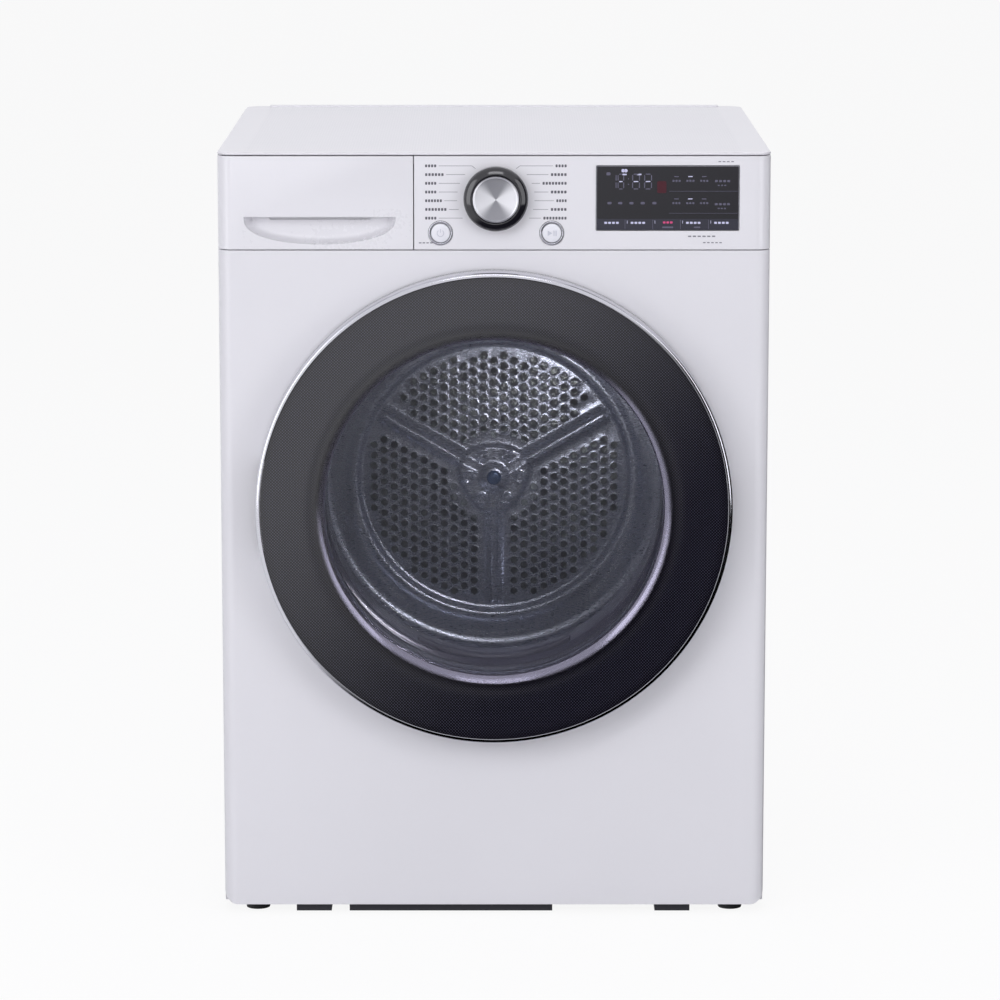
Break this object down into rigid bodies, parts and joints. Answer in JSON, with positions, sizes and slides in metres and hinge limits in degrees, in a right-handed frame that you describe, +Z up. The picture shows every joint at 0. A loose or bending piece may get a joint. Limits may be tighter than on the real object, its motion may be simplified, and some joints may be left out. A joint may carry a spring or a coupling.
{
  "type": "clothes dryer",
  "caption": "Free-standing heat-pump clothes dryer: round tinted door over a rotating steel drum, program knob, display, water tank drawer, lint filter and levelling feet.",
  "frame": {"origin": "on the floor, under the middle of the machine's bounding box", "axes": "+Z up, the front and door face -Y, +X to the right of somebody facing the front"},
  "size_m": [0.6, 0.66, 0.85],
  "materials": {
    "cabinet_paint": "satin powder coat",
    "white_moulding": "semi-gloss moulding",
    "button_white": "gloss moulding with a pale symbol",
    "display_gloss": "gloss black panel",
    "knob_gloss": "gloss black",
    "knob_metal": "turned, radial brushing",
    "rim_chrome": "bright plated",
    "tinted_cover": "tinted, polished, dotted band",
    "bowl_glass": "polished",
    "stainless": "fine brushed",
    "zinc_sheet": "zinc plated",
    "cast_metal": "as cast and machined",
    "dark_plastic": "fine grain",
    "grey_plastic": "fine grain",
    "rubber": "matt",
    "felt": "pressed felt",
    "black_paint": "black paint",
    "fin_stock": "aluminium fins, light stack",
    "circuit_board": "solder mask",
    "filter_mesh": "frame with fine mesh"
  },
  "bodies": {
    "root": {"front_panel": "cabinet_paint", "side_panel_left": "cabinet_paint", "side_panel_right": "cabinet_paint", "top_plate": "cabinet_paint", "control_fascia": "white_moulding", "display_window": "display_gloss", "power_button_ring": "rim_chrome", "start_button_ring": "rim_chrome", "rear_panel": "zinc_sheet", "rear_duct_cover": "zinc_sheet", "door_hinge_plate": "zinc_sheet", "rear_bearing": "cast_metal", "roller_axle_left": "cast_metal", "roller_axle_right": "cast_metal", "motor_body": "cast_metal", "knob_encoder": "cast_metal", "base_tray": "dark_plastic", "lint_duct": "dark_plastic", "door_latch": "dark_plastic", "power_inlet_gland": "dark_plastic", "tank_guide": "grey_plastic", "front_bulkhead": "grey_plastic", "fan_housing": "grey_plastic", "drain_pump": "grey_plastic", "door_gasket": "rubber", "drive_belt": "rubber", "drum_front_seal": "felt", "compressor": "black_paint", "evaporator": "fin_stock", "condenser": "fin_stock", "control_board": "circuit_board"},
    "door": {"door_ring": "rim_chrome", "door_outer_cover": "tinted_cover", "door_frame": "dark_plastic", "door_bowl": "bowl_glass", "door_hinge_arm": "zinc_sheet", "door_strike": "zinc_sheet"},
    "drum": {"drum_shell": "stainless", "drum_back_plate": "stainless", "drum_shaft": "cast_metal", "lifter_1": "dark_plastic", "lifter_2": "dark_plastic", "lifter_3": "dark_plastic"},
    "roller_left": {"front_roller_left": "rubber"},
    "roller_right": {"front_roller_right": "rubber"},
    "rotor": {"motor_shaft_pulley": "cast_metal", "fan_wheel": "dark_plastic"},
    "idler": {"idler_arm": "zinc_sheet"},
    "idler_wheel": {"idler_pulley": "dark_plastic"},
    "tank_drawer": {"drawer_front": "white_moulding", "tank_body": "grey_plastic"},
    "filter": {"lint_filter": "filter_mesh"},
    "knob": {"knob_ring": "knob_gloss", "knob_cap": "knob_metal"},
    "power_key": {"power_button": "button_white"},
    "start_key": {"start_button": "button_white"},
    "foot_fl": {"foot_front_left": "rubber"},
    "foot_fr": {"foot_front_right": "rubber"},
    "foot_rl": {"foot_rear_left": "rubber"},
    "foot_rr": {"foot_rear_right": "rubber"}
  },
  "joints": [
    {"name": "door_hinge", "type": "hinge", "parent": "root", "child": "door", "pos_m": [0.25, -0.309, 0.462], "axis": [0, 0, 1], "range_deg": [0, 145]},
    {"name": "drum_spin", "type": "hinge", "parent": "root", "child": "drum", "pos_m": [0, 0.06, 0.4], "axis": [0, 1, 0], "continuous": true},
    {"name": "roller_left_spin", "type": "hinge", "parent": "root", "child": "roller_left", "pos_m": [-0.17569, -0.129, 0.14909], "axis": [0, 1, 0], "continuous": true},
    {"name": "roller_right_spin", "type": "hinge", "parent": "root", "child": "roller_right", "pos_m": [0.17569, -0.129, 0.14909], "axis": [0, 1, 0], "continuous": true},
    {"name": "motor_spin", "type": "hinge", "parent": "root", "child": "rotor", "pos_m": [0.19, 0, 0.085], "axis": [0, 1, 0], "continuous": true},
    {"name": "idler_swing", "type": "hinge", "parent": "root", "child": "idler", "pos_m": [0.08, 0.112, 0.04], "axis": [0, 1, 0], "range_deg": [0, 12], "stiffness_Nm_per_rad": 2, "springref_deg": -8.59},
    {"name": "idler_spin", "type": "hinge", "parent": "idler", "child": "idler_wheel", "pos_m": [0.12, 0.1, 0.089], "axis": [0, 1, 0], "continuous": true},
    {"name": "tank_slide", "type": "slide", "parent": "root", "child": "tank_drawer", "axis": [0, -1, 0], "range_m": [0, 0.42]},
    {"name": "filter_lift", "type": "slide", "parent": "root", "child": "filter", "axis": [0, 0, 1], "range_m": [0, 0.12]},
    {"name": "knob_turn", "type": "hinge", "parent": "root", "child": "knob", "pos_m": [0.002, -0.295, 0.799], "axis": [0, 1, 0], "continuous": true},
    {"name": "power_press", "type": "slide", "parent": "root", "child": "power_key", "axis": [0, 1, 0], "range_m": [0, 0.0015], "stiffness_N_per_m": 400},
    {"name": "start_press", "type": "slide", "parent": "root", "child": "start_key", "axis": [0, 1, 0], "range_m": [0, 0.0015], "stiffness_N_per_m": 400},
    {"name": "foot_front_left_level", "type": "slide", "parent": "root", "child": "foot_fl", "axis": [0, 0, -1], "range_m": [0, 0.015]},
    {"name": "foot_front_right_level", "type": "slide", "parent": "root", "child": "foot_fr", "axis": [0, 0, -1], "range_m": [0, 0.015]},
    {"name": "foot_rear_left_level", "type": "slide", "parent": "root", "child": "foot_rl", "axis": [0, 0, -1], "range_m": [0, 0.015]},
    {"name": "foot_rear_right_level", "type": "slide", "parent": "root", "child": "foot_rr", "axis": [0, 0, -1], "range_m": [0, 0.015]}
  ],
  "couplings": [
    {"joint": "roller_left_spin", "follows": "drum_spin", "ratio": -9.2},
    {"joint": "roller_right_spin", "follows": "drum_spin", "ratio": -9.2},
    {"joint": "motor_spin", "follows": "drum_spin", "ratio": 23},
    {"joint": "idler_spin", "follows": "drum_spin", "ratio": -19.714}
  ]
}
